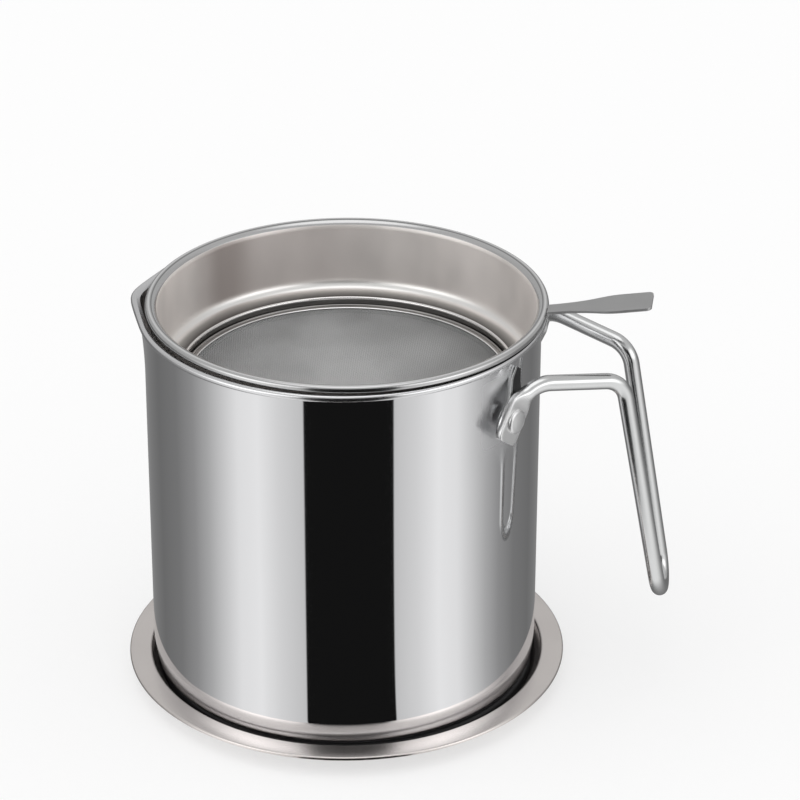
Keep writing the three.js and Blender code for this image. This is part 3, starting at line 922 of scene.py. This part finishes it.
def press_flat(rod, bend_end, bend_middle, bend_axis, bend_turn):
    """Presses the rod's end flat, well into its root bend, and rounds the tip.

    Each point is turned back round the bend, so that it lies in line with the flat end, is
    pressed there and is turned on again."""
    slack = 0.01
    reach = ROD * 1.2
    flat_middle = at_rivet(END_MIDDLE, 0)
    arm = bend_end - bend_middle
    bend_start = (bend_end - RIVET_BASE).dot(ALONG)
    points = points_of(rod) / MM
    for index, point in enumerate(points):
        place = Vector(point)
        spoke = place - bend_middle
        side = spoke.dot(bend_axis)
        spoke -= bend_axis * side
        turn = math.atan2(bend_axis.dot(spoke.cross(arm)), spoke.dot(arm))
        offset = place - flat_middle
        along = offset.dot(ALONG)
        in_bend = abs(spoke.length - ROOT_BEND) < reach and abs(side) < reach
        if along < bend_start + slack and (offset - ALONG * along).length < reach:
            turn = 0
        elif 0 < turn < bend_turn + slack and in_bend:
            along = bend_start
        else:
            continue
        straighten = Matrix.Rotation(turn, 3, bend_axis)
        offset = straighten @ (place - bend_middle) + bend_middle - flat_middle
        angle = math.atan2(offset.dot(ACROSS), offset.dot(OUT))
        blend = float(smoothstep(along + turn * ROOT_BEND, END_FLAT, END_FLAT + END_BLEND))
        flat = 1 - blend
        tip_part = min(max((along + END_TIP) / END_ROUND, 0), 1)
        tip_share = END_TIP_SHARE + (1 - END_TIP_SHARE) * math.sqrt(1 - (1 - tip_part) ** 2)
        half_width = END_WIDTH / 2 * tip_share * flat + ROD * blend
        half_thick = END_SHEET / 2 * flat + ROD * blend
        power = 2 / (END_SQUARENESS * flat ** 2 + 2 * (1 - flat ** 2))
        across = half_width * math.copysign(abs(math.sin(angle)) ** power, math.sin(angle))
        out = half_thick * math.copysign(abs(math.cos(angle)) ** power, math.cos(angle))
        pressed = at_rivet(END_MIDDLE + out, along, across)
        points[index] = straighten.transposed() @ (pressed - bend_middle) + bend_middle
    set_points(rod, points * MM)


def make_ear():
    """A plate that stands off the wall at the rivet and lies on the wall above."""
    weld_end = EAR_FLAT + EAR_BEND + EAR_WELD
    pick_none()
    bpy.ops.mesh.primitive_grid_add(x_subdivisions=EAR_ROWS, y_subdivisions=EAR_COLUMNS, size=2)
    ear = new_piece("ear_near")
    moved = []
    for u, v, _ in points_of(ear):
        share = (u + 1) / 2
        along = -EAR_TIP + (weld_end + EAR_TIP) * share ** EAR_ROW_CROWDING
        tip_part = min((along + EAR_TIP) / EAR_TIP, 1)
        taper = min(max(along / weld_end, 0), 1) ** EAR_TAPER
        half = (EAR_WIDTH + (EAR_TOP - EAR_WIDTH) * taper) / 2
        half *= math.sqrt(EAR_TIP_SHARE + (1 - EAR_TIP_SHARE) * (1 - (1 - tip_part) ** 2))
        to_wall = float(smoothstep(along, EAR_FLAT, EAR_FLAT + EAR_BEND))
        flat = at_rivet(EAR_INNER, along, EAR_TOP_SHIFT * taper + half * v) - Vector((POT_X, 0, 0))
        flat_radius = math.hypot(flat.x, flat.y)
        radius = flat_radius + (POT_RADIUS - flat_radius) * to_wall
        radial = Vector((flat.x, flat.y, 0)).normalized()
        moved.append((radial * radius + Vector((POT_X, 0, flat.z))) * MM)
    set_points(ear, moved)
    faces_out(ear)
    facing = sum((p.normal * p.area for p in ear.data.polygons), Vector())
    thicken(ear, EAR_SHEET, 1 if facing.dot(OUT) > 0 else -1, EAR_EDGE, segments=3)
    close_up(ear)
    smooth(ear, angle=35)
    return ear


def mirrored_copy(piece, name):
    """The same piece on the other side of the handle, as a mesh of its own."""
    pick_only(piece)
    bpy.ops.object.duplicate()
    copy = new_piece(name)
    copy.scale = (1, -1, 1)
    apply_place(copy)
    close_up(copy)
    return copy


def make_rivet():
    tail_top = EAR_INNER
    tail_base = tail_top - RIVET_TAIL_HEIGHT
    tail_radius, tail_rise = RIVET_TAIL_SHOULDER
    head_base = END_MIDDLE + END_SHEET / 2
    land = head_base + RIVET_LAND
    crown = RIVET_HEAD * RIVET_CROWN
    crown_level = head_base + RIVET_DOME * RIVET_SHOULDER
    dome = crown ** 2 / (2 * RIVET_DOME * (1 - RIVET_SHOULDER))
    half = math.degrees(math.asin(crown / dome))
    profile = [
        (0, tail_base),
        (RIVET_TAIL * RIVET_TAIL_FLAT, tail_base),
        (RIVET_TAIL * tail_radius, tail_base + RIVET_TAIL_HEIGHT * tail_rise),
        (RIVET_TAIL, tail_base + RIVET_TAIL_HEIGHT / 2),
        (RIVET_TAIL, tail_top),
        (RIVET_SHANK, tail_top),
        (RIVET_SHANK, head_base),
        (RIVET_HEAD - RIVET_CHAMFER, head_base),
        (RIVET_HEAD, head_base + RIVET_CHAMFER),
        (RIVET_HEAD, land),
        *[(crown + (RIVET_HEAD - crown) * math.cos(turn), land + (crown_level - land) * math.sin(turn))
          for turn in RIVET_SHOULDER_TURNS],
        *arc(0, head_base + RIVET_DOME - dome, dome, 90 - half * RIVET_CROWN_START, 90, steps=8),
    ]
    rivet = spun("rivet_near", profile, steps=RIVET_STEPS, angle=35)
    settle(rivet, Matrix.Translation(RIVET_BASE * MM) @ axes(ALONG, ACROSS, OUT))
    return rivet


# Finishes of the handle, ears and rivets; lengths from the rivet, out, along and across
PRESSED_ALONG = (-20, -15), (6, 12)
PRESSED_OUT = (75, 77)
# Where the ear's outside carries a painted dark reflection
EAR_REFLECTION_ALONG = (2, 5)
EAR_REFLECTION_ACROSS = (3.2, 3.6)
EAR_OUTSIDE = (EAR_SHEET * 0.7, EAR_SHEET * 0.8)


def from_rivet(finish):
    """Distances out, along and across at the rivet of the side a point is on."""
    x, y, z = finish.place()
    x = x - POT_X
    y = -1 * y.absolute()
    z = z - RIVET_LEVEL
    return [x * way.x + y * way.y + z * way.z for way in (OUT, ALONG, ACROSS)]


def rod_areas(finish):
    """The pressed end, duller and lighter than the rod."""
    out, along, across = from_rivet(finish)
    pressed = within(along, PRESSED_ALONG) * (1 - between(out, *PRESSED_OUT))
    return [Area(pressed, grey(0.90), roughness=0.33)]


def ear_areas(finish):
    """A painted dark reflection on the outside's face above the rivet, inside a bright edge."""
    x, y, z, radius = finish.from_axis(POT_X)
    out, along, across = from_rivet(finish)
    flat_radius = (x * x + y * y - out * out + EAR_INNER ** 2) ** 0.5
    inner = flat_radius + (POT_RADIUS - flat_radius) * eased(along, EAR_FLAT, EAR_FLAT + EAR_BEND)
    outside = between(radius - inner, *EAR_OUTSIDE)
    dark_reflection = between(along, *EAR_REFLECTION_ALONG) * (1 - between(across, *EAR_REFLECTION_ACROSS)) * outside
    return [Area(dark_reflection, grey(0.08), roughness=0.3)]


def rod_clouds(finish):
    return finish.cloudy(scale=0.12, detail=2)


def rod_lines(finish):
    return finish.cloudy(scale=0.6, detail=4)


rod_steel = metal(
    "rod_steel", (0.73, 0.735, 0.735), tone_change=0.03, roughness=0.19, roughness_change=0.05,
    patches=rod_clouds, lines=rod_lines, bump=0.15, areas=rod_areas)
ear_steel = metal(
    "ear_steel", (0.87, 0.88, 0.88), tone_change=0.03, roughness=0.14, roughness_change=0.05,
    patches=rod_clouds, lines=rod_lines, bump=0.15, areas=ear_areas)
rivet_steel = metal(
    "rivet_steel", grey(0.88), tone_change=0.03, roughness=0.36, roughness_change=0.05,
    patches=rod_clouds, lines=rod_lines, bump=0.15)

dress(make_handle(), rod_steel, "pot", "rod_steel", "handle_loop")
near_ear = make_ear()
far_ear = mirrored_copy(near_ear, "ear_far")
dress(near_ear, ear_steel, "pot", "polished_steel", "ear_front")
dress(far_ear, ear_steel, "pot", "polished_steel", "ear_back")
near_rivet = make_rivet()
far_rivet = mirrored_copy(near_rivet, "rivet_far")
dress(near_rivet, rivet_steel, "pot", "rod_steel", "rivet_front")
dress(far_rivet, rivet_steel, "pot", "rod_steel", "rivet_back")


# Strainer

def make_basket():
    inner = BASKET_RADIUS - BASKET_SHEET
    corner = inner - BASKET_CORNER
    corner_level = LEDGE_LEVEL + BASKET_CORNER
    curl = BEAD_MIDDLE - inner
    curl_level = BEAD_LEVEL + BEAD_RADIUS - curl
    edge = LEDGE_LEVEL - LEDGE_FALL
    seat_edge = LEDGE_EDGE - SEAT_WIDTH
    profile = [
        (seat_edge, SEAT_LEVEL - BASKET_SHEET),
        (LEDGE_EDGE + BASKET_SHEET, SEAT_LEVEL - BASKET_SHEET),
        (LEDGE_EDGE + BASKET_SHEET, edge - BASKET_SHEET),
        *arc(corner, corner_level, BASKET_CORNER + BASKET_SHEET, -90, 0, steps=10),
        (BASKET_RADIUS, curl_level),
        *arc(BEAD_MIDDLE, BEAD_LEVEL, BEAD_RADIUS, -180, 90, steps=20),
        *arc(BEAD_MIDDLE, curl_level, curl, BEAD_CURL_START, 180, steps=10),
        (inner, corner_level + 1),
        *arc(corner, corner_level, BASKET_CORNER, 0, -90, steps=12),
        *arc(LEDGE_EDGE + LEDGE_ROUND, edge - LEDGE_ROUND, LEDGE_ROUND, LEDGE_ROUND_START, 180, steps=5),
        (LEDGE_EDGE, SEAT_LEVEL + SEAT_CHAMFER),
        (LEDGE_EDGE - SEAT_CHAMFER, SEAT_LEVEL),
        (seat_edge, SEAT_LEVEL),
        (seat_edge, SEAT_LEVEL - BASKET_SHEET),
    ]
    return spun("strainer_bowl", profile, STRAINER_X, angle=40)


def make_clamp_ring():
    outer = LEDGE_EDGE - CLAMP_GAP
    base = NET_LEVEL + CLAMP_GAP
    top = base + CLAMP_SHEET
    chamfer_width, chamfer_drop = CLAMP_CHAMFER
    profile = [
        (CLAMP_INNER, base),
        (outer, base),
        *arc(outer - CLAMP_CREST / 2, top, CLAMP_CREST / 2, 0, 180, steps=8),
        (CLAMP_INNER + chamfer_width, top),
        (CLAMP_INNER, top - chamfer_drop),
        (CLAMP_INNER, base),
    ]
    return spun("clamp_ring", profile, STRAINER_X, angle=45)


def repeat(piece, name, step, count, joined):
    """Rows of a piece at a step; joined rows share their end points."""
    row = piece.modifiers.new(name, "ARRAY")
    row.use_relative_offset = False
    row.use_constant_offset = True
    row.constant_offset_displace = step
    row.count = count
    row.use_merge_vertices = joined
    row.merge_threshold = WIRE_GAP * MM


def make_net(name, turn, first):
    """Wires of the woven net that lie one way; first is 1 or -1, where the first bend is high
    or low."""
    pitch = NET_PITCH * MM
    half_count = math.ceil(NET_RADIUS / NET_PITCH / 2) + 1
    rise = first * NET_WIRE / 2 * MM
    pick_none()
    bpy.ops.mesh.primitive_circle_add(vertices=4, radius=NET_WIRE / 2 * MM,
                                      rotation=(0, math.pi / 2, 0))
    net = new_piece(name)
    net.location = (-2 * half_count * pitch, -2 * half_count * pitch, rise)
    apply_place(net)
    start_edit(net)
    extrude((pitch, 0, -2 * rise))
    extrude((pitch, 0, 2 * rise))
    bpy.ops.mesh.select_all(action="SELECT")
    bpy.ops.mesh.duplicate_move(TRANSFORM_OT_translate={"value": (-pitch, pitch, 0)})
    end_edit()
    repeat(net, "length", (2 * pitch, 0, 0), 2 * half_count + 1, joined=True)
    repeat(net, "width", (0, 2 * pitch, 0), 2 * half_count + 1, joined=False)
    apply_modifiers(net)
    points = points_of(net)
    outside = np.hypot(points[:, 0], points[:, 1]) > NET_RADIUS * MM
    start_edit(net)
    bpy.ops.mesh.select_all(action="DESELECT")
    end_edit()
    net.data.vertices.foreach_set("select", outside)
    bpy.ops.object.mode_set(mode="EDIT")
    bpy.ops.mesh.delete(type="VERT")
    bpy.ops.mesh.select_all(action="SELECT")
    bpy.ops.mesh.normals_make_consistent(inside=False)
    bpy.ops.mesh.fill_holes(sides=4)
    end_edit()
    middle = Vector((STRAINER_X, 0, NET_LEVEL)) * MM
    settle(net, Matrix.Translation(middle) @ Matrix.Rotation(turn, 4, "Z"))
    smooth(net, angle=60)
    return net


def tab_side():
    """Points (along, half width) down one side of the tab: curve, straight and corner."""
    root_half = TAB_ROOT / 2
    end_half = TAB_END / 2
    wide = TAB_LENGTH - TAB_END_LENGTH
    outline = []
    for i in range(TAB_CURVE_STEPS + 1):
        t = i / TAB_CURVE_STEPS
        a, b, c, d = (1 - t) ** 3, 3 * (1 - t) ** 2 * t, 3 * (1 - t) * t * t, t ** 3
        outline.append(((b + c) * TAB_SHOULDER + d * wide, (a + b) * root_half + (c + d) * end_half))
    straight = TAB_END_LENGTH - TAB_CORNER
    for i in range(1, TAB_STRAIGHT_STEPS):
        outline.append((wide + straight * i / TAB_STRAIGHT_STEPS, end_half))
    for i in range(TAB_CORNER_STEPS + 1):
        angle = math.pi / 2 * i / TAB_CORNER_STEPS
        outline.append((TAB_LENGTH - TAB_CORNER * (1 - math.sin(angle)),
                        end_half - TAB_CORNER * (1 - math.cos(angle))))
    return outline


def make_tab():
    """A flat blade that widens outwards, its root cut to the bead's circle."""
    outline = tab_side()
    last = len(outline) - 1
    wide = TAB_LENGTH - TAB_END_LENGTH
    root_circle = BEAD_MIDDLE + BEAD_RADIUS - TAB_WELD
    pick_none()
    bpy.ops.mesh.primitive_grid_add(x_subdivisions=last, y_subdivisions=TAB_COLUMNS, size=2)
    tab = new_piece("tab_blade")
    moved = []
    for u, v, _ in points_of(tab):
        along, half = outline[round((u + 1) / 2 * last)]
        across = half * v
        sag = root_circle - math.sqrt(root_circle ** 2 - across ** 2)
        moved.append(Vector((along - sag * (1 - min(along / wide, 1)), across, 0)) * MM)
    set_points(tab, moved)
    faces_out(tab)
    thicken(tab, TAB_SHEET, 0, TAB_EDGE, segments=2)
    root = Vector((STRAINER_X + root_circle, 0, TAB_LEVEL)) * MM
    settle(tab, Matrix.Translation(root) @ Matrix.Rotation(-TAB_TILT, 4, "Y"))
    close_up(tab)
    smooth(tab, angle=35)
    return tab


dress(make_basket(), satin_steel, "strainer", "satin_steel", "strainer_basket")
dress(make_clamp_ring(), clamp_steel, "strainer", "satin_steel", "mesh_clamp_ring")
dress(make_net("net_weft", NET_TURN, 1), wire_steel, "strainer", "wire_steel", "strainer_mesh")
dress(make_net("net_warp", NET_TURN + math.pi / 2, -1), wire_steel, "strainer", "wire_steel")
dress(make_tab(), tab_steel, "strainer", "tab_steel", "lift_tab")

# Studio
AMBIENT = 0.62
FLOOR_SIZE = 12              # metres
FLOOR_DROP = 0.05
FLOOR_PAINT = 0.96
FLOOR_GLOW = 0.6             # how much of the floor's own white the camera sees
LAMPS = (                    # name, the way to it, strength and spread in degrees
    ("key", (-1.0, -0.8, 2.2), 0.9, 70),
    ("fill", (1.4, -0.6, 2.2), 0.5, 80),
)

# The room that the polished metal shows: a profile of (radius, level) points round the pot, and
# its tones by the angle from the side that faces the camera
ROOM_PROFILE = [(79, 0.3), (900, 0.3), (900, 1100), (500, 1600), (0, 1700)]
ROOM_STEPS = 96
SIDE_TONES = (
    (0, 0.008), (25.5, 0.008), (25.7, 0.64), (40, 0.78), (53, 0.96), (66, 0.90),
    (88, 0.47), (100, 0.31), (116, 0.21), (138, 0.17), (160, 0.22), (180, 0.3),
)
FRONT = math.radians(-78.41)     # bearing of the middle of the black card
MIRROR_SHARE = 0.485         # bearing of the wall's point that mirrors a line, over the line's
MIRROR_ROUNDS = 4            # rounds in which that point is found
EYE_LEVEL = 100              # rises are angles from this level of the pot's axis, in degrees
SIDE_LIFT = 0.9              # how much brighter the side cloths are above the table
SIDE_RISE = (6, 16)
BACK_TONE = 0.54             # the wall behind the pot, above the table
BACK_TURN = (95, 130)
BACK_RISE = (4, 12)
HIGH_TONE = 0.6              # the upper walls
HIGH_RISE = (31, 42)
TOP_TONE = 1.3               # the lamp cloth overhead
TOP_RISE = (66, 72)


def studio_air():
    world = bpy.data.worlds.new("studio_air")
    world.use_nodes = True
    bpy.context.scene.world = world
    air = Finish("studio_air", world.node_tree)
    camera = air.add("ShaderNodeLightPath", out="Is Camera Ray")
    glossy = air.add("ShaderNodeLightPath", out="Is Glossy Ray")
    through = air.add("ShaderNodeLightPath", out="Is Transmission Ray")
    seen = (camera + glossy + through).clipped(0, 1)
    strength = AMBIENT + (1 - AMBIENT) * seen
    shader = air.add("ShaderNodeBackground", None, {"Color": (1, 1, 1, 1), "Strength": strength})
    air.finish(shader, "ShaderNodeOutputWorld")


def make_floor():
    pick_none()
    bpy.ops.mesh.primitive_plane_add(size=FLOOR_SIZE, location=(0, 0, -FLOOR_DROP * MM))
    floor = new_piece("studio_floor")
    finish = Finish("studio_floor")
    camera = finish.add("ShaderNodeLightPath", out="Is Camera Ray")
    paint = finish.add("ShaderNodeBsdfDiffuse", None, {"Color": opaque(grey(FLOOR_PAINT))})
    glow = finish.add("ShaderNodeEmission", None, {"Color": (1, 1, 1, 1), "Strength": 1.0})
    mixed = finish.add("ShaderNodeMixShader", None, {"Fac": camera * FLOOR_GLOW, 1: paint, 2: glow})
    floor.data.materials.append(finish.finish(mixed))


def only_mirrored(card):
    """A card that shows in polished metal and lights nothing."""
    card.visible_camera = False
    card.visible_diffuse = False
    card.visible_transmission = False
    card.visible_volume_scatter = False
    card.visible_shadow = False


def make_room_card():
    """A floor, wall and roof round the tray that only polished metal shows.

    Its tones lie along the lines that the pot's wall mirrors to the camera."""
    card = spun("room_card", ROOM_PROFILE, POT_X, steps=ROOM_STEPS, angle=180)
    finish = Finish("room_card")
    x, y, z, reach = finish.from_axis(POT_X)
    bearing = y.angle_over(x) - FRONT
    turn = bearing.math("WRAP", bearing, math.pi, -math.pi)
    line = turn
    for _ in range(MIRROR_ROUNDS):
        line = turn + (POT_RADIUS / reach * (line * MIRROR_SHARE).sine()).arcsine()
    angle = line.absolute() * DEGREES
    stops = [(degrees / 180, opaque(grey(tone))) for degrees, tone in SIDE_TONES]
    side = finish.add("ShaderNodeValToRGB", {"stops": stops}, {"Fac": angle / 180})
    rise = (z - EYE_LEVEL).angle_over(reach) * DEGREES
    tone = side * (1 + SIDE_LIFT * between(rise, *SIDE_RISE))
    tone = towards(tone, BACK_TONE, between(angle, *BACK_TURN) * between(rise, *BACK_RISE))
    tone = towards(tone, HIGH_TONE, between(rise, *HIGH_RISE))
    tone = towards(tone, TOP_TONE, between(rise, *TOP_RISE))
    shader = finish.add("ShaderNodeEmission", None, {"Color": tone, "Strength": 1.0})
    card.data.materials.append(finish.finish(shader))
    only_mirrored(card)


def make_lamp(name, way, strength, spread):
    """A broad soft light that comes from one direction and doesn't show in metal."""
    pick_none()
    bpy.ops.object.light_add(type="SUN", location=way)
    lamp = bpy.context.object
    lamp.name = name
    lamp.data.energy = strength
    lamp.data.angle = math.radians(spread)
    lamp.rotation_euler = Vector(way).to_track_quat("Z", "Y").to_euler()
    lamp.visible_glossy = False


studio_air()
make_floor()
make_room_card()
for lamp_facts in LAMPS:
    make_lamp(*lamp_facts)
bpy.context.scene.view_settings.view_transform = "Standard"
